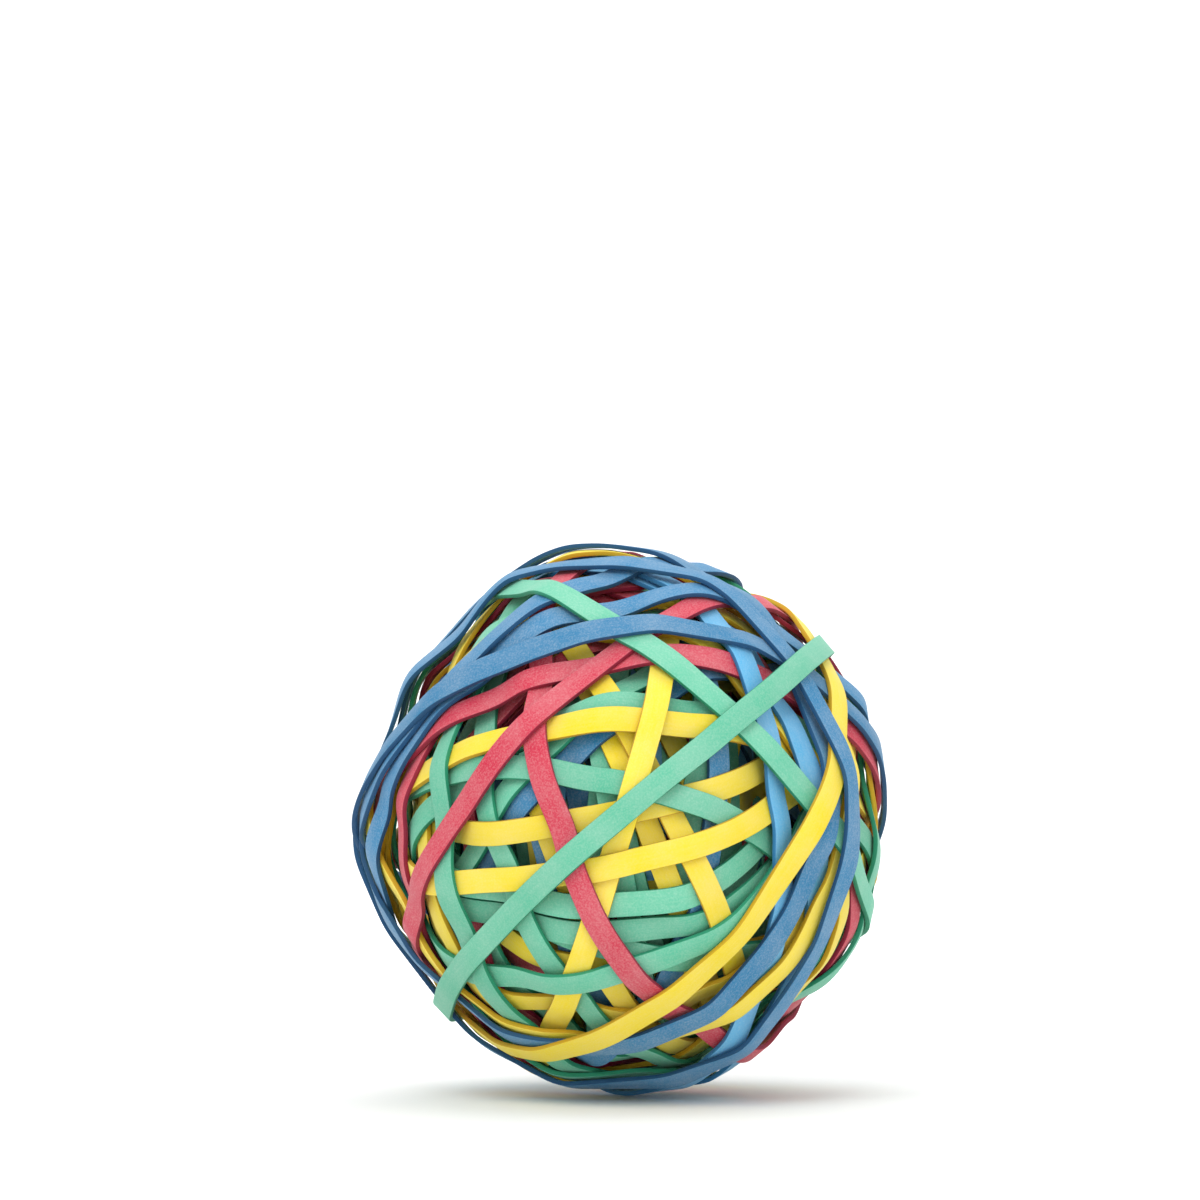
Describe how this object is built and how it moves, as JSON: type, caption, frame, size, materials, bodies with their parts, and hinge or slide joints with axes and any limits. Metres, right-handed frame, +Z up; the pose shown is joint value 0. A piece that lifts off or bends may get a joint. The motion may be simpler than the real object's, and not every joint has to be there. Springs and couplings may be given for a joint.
{
  "type": "rubber band ball",
  "caption": "Ball of flat coloured rubber bands stretched one over another in all directions round a tight middle of earlier bands.",
  "frame": {"origin": "centre of the ball's bounding box", "axes": "+Z up, along the ball's slightly longer direction; -Y is the side that faces a viewer"},
  "size_m": [0.0752, 0.0734, 0.0774],
  "materials": {
    "red": "matte crimson rubber, dusted with talc",
    "green": "matte mint green rubber, dusted with talc",
    "yellow": "matte yellow rubber, dusted with talc",
    "blue": "matte mid blue rubber, dusted with talc",
    "light_blue": "matte sky blue rubber, dusted with talc",
    "inner": "matte rubber of mixed colours, in deep shade"
  },
  "bodies": {
    "root": {"inner_bands": "inner", "band_01_green": "green", "band_02_green": "green", "band_03_green": "green", "band_04_blue": "blue", "band_05_yellow": "yellow", "band_06_red": "red", "band_07_green": "green", "band_08_green": "green", "band_09_green": "green", "band_10_yellow": "yellow", "band_11_blue": "blue", "band_12_yellow": "yellow", "band_13_green": "green", "band_14_red": "red", "band_15_red": "red", "band_16_yellow": "yellow", "band_17_blue": "blue", "band_18_green": "green", "band_19_red": "red", "band_20_green": "green", "band_21_green": "green", "band_22_yellow": "yellow", "band_23_yellow": "yellow", "band_24_green": "green", "band_25_yellow": "yellow", "band_26_yellow": "yellow", "band_27_green": "green", "band_28_green": "green", "band_29_yellow": "yellow", "band_30_yellow": "yellow", "band_31_green": "green", "band_32_yellow": "yellow", "band_33_green": "green", "band_34_red": "red", "band_35_green": "green", "band_36_green": "green", "band_37_red": "red", "band_38_yellow": "yellow", "band_39_light_blue": "light_blue", "band_40_yellow": "yellow", "band_41_red": "red", "band_42_red": "red", "band_43_light_blue": "light_blue", "band_44_yellow": "yellow", "band_45_red": "red", "band_46_blue": "blue", "band_47_blue": "blue", "band_48_green": "green", "band_49_blue": "blue", "band_50_blue": "blue", "band_51_yellow": "yellow", "band_52_blue": "blue", "band_53_green": "green"}
  },
  "joints": []
}
